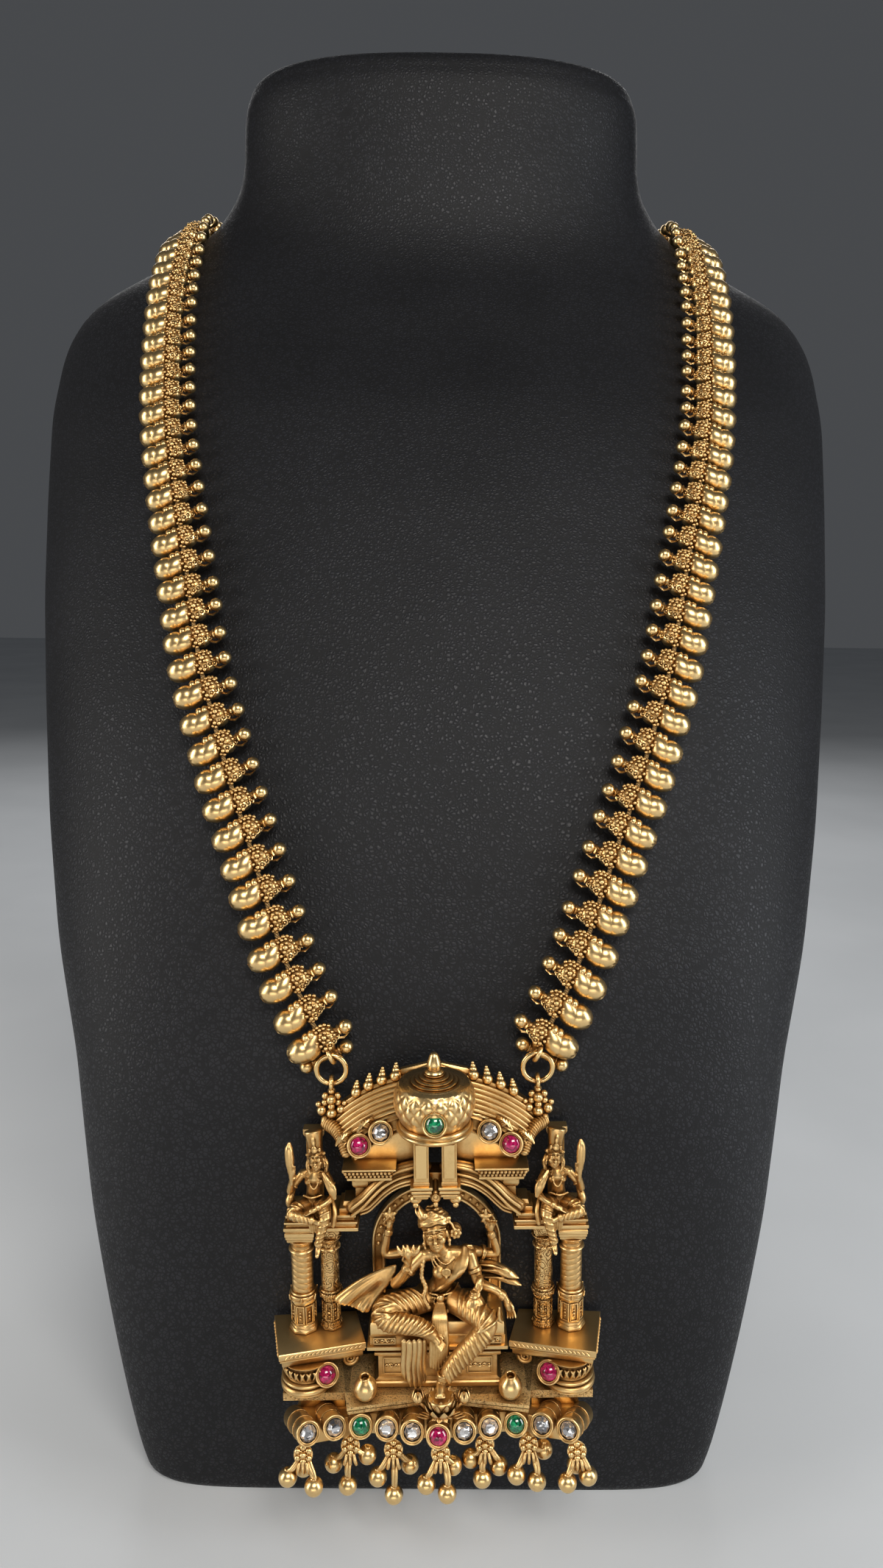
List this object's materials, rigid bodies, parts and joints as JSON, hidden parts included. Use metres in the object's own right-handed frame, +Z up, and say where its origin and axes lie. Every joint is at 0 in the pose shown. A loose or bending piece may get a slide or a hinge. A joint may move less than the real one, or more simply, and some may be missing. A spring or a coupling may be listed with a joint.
{
  "type": "temple jewellery necklace on a neck display bust",
  "caption": "Long necklace of cast mango-shaped links carrying a small gold shrine pendant with a seated goddess, stones and ball drops, shown on a plain neck bust.",
  "frame": {"origin": "middle of the bust's base face", "axes": "+Z up, the viewer looks along +Y at the front of the necklace, +X to the viewer's right"},
  "size_m": [0.216, 0.2142, 0.332],
  "materials": {
    "bust": "grained leather cover, satin",
    "gold": "antique matt gold plating",
    "thread": "twisted cord",
    "stone_white": "faceted, foil backed",
    "stone_red": "polished cabochon",
    "stone_green": "polished cabochon"
  },
  "bodies": {
    "display": {"bust": "bust", "chain_left": "gold", "chain_right": "gold", "thread": "thread", "clasp": "gold", "end_link_left": "gold", "end_link_right": "gold", "jump_ring_left": "gold", "jump_ring_right": "gold"},
    "pendant": {"roof": "gold", "gate": "gold", "dome": "gold", "halo": "gold", "throne": "gold", "deck": "gold", "bezel_row": "gold", "lotus_rest": "gold", "platform_left": "gold", "platform_right": "gold", "column_left_front": "gold", "column_left_rear": "gold", "column_right_front": "gold", "column_right_rear": "gold", "attendant_left": "gold", "attendant_right": "gold", "goddess": "gold", "vase_left": "gold", "vase_right": "gold", "stone_dome": "stone_green", "stone_roof_left_red": "stone_red", "stone_roof_left_white": "stone_white", "stone_roof_right_red": "stone_red", "stone_roof_right_white": "stone_white", "stone_wing_left": "stone_red", "stone_wing_right": "stone_red", "stone_tube_1": "stone_white", "stone_tube_2": "stone_white", "stone_tube_3": "stone_green", "stone_tube_4": "stone_white", "stone_tube_5": "stone_white", "stone_tube_6": "stone_red", "stone_tube_7": "stone_white", "stone_tube_8": "stone_white", "stone_tube_9": "stone_green", "stone_tube_10": "stone_white", "stone_tube_11": "stone_white", "drop_1": "gold", "drop_2": "gold", "drop_3": "gold", "drop_4": "gold", "drop_5": "gold", "drop_6": "gold", "drop_7": "gold"}
  },
  "joints": [
    {"name": "pendant_swing", "type": "hinge", "parent": "display", "child": "pendant", "pos_m": [0.0008, -0.076, 0.097], "axis": [-0.9997, 0, -0.0227], "range_deg": [0, 45]}
  ]
}
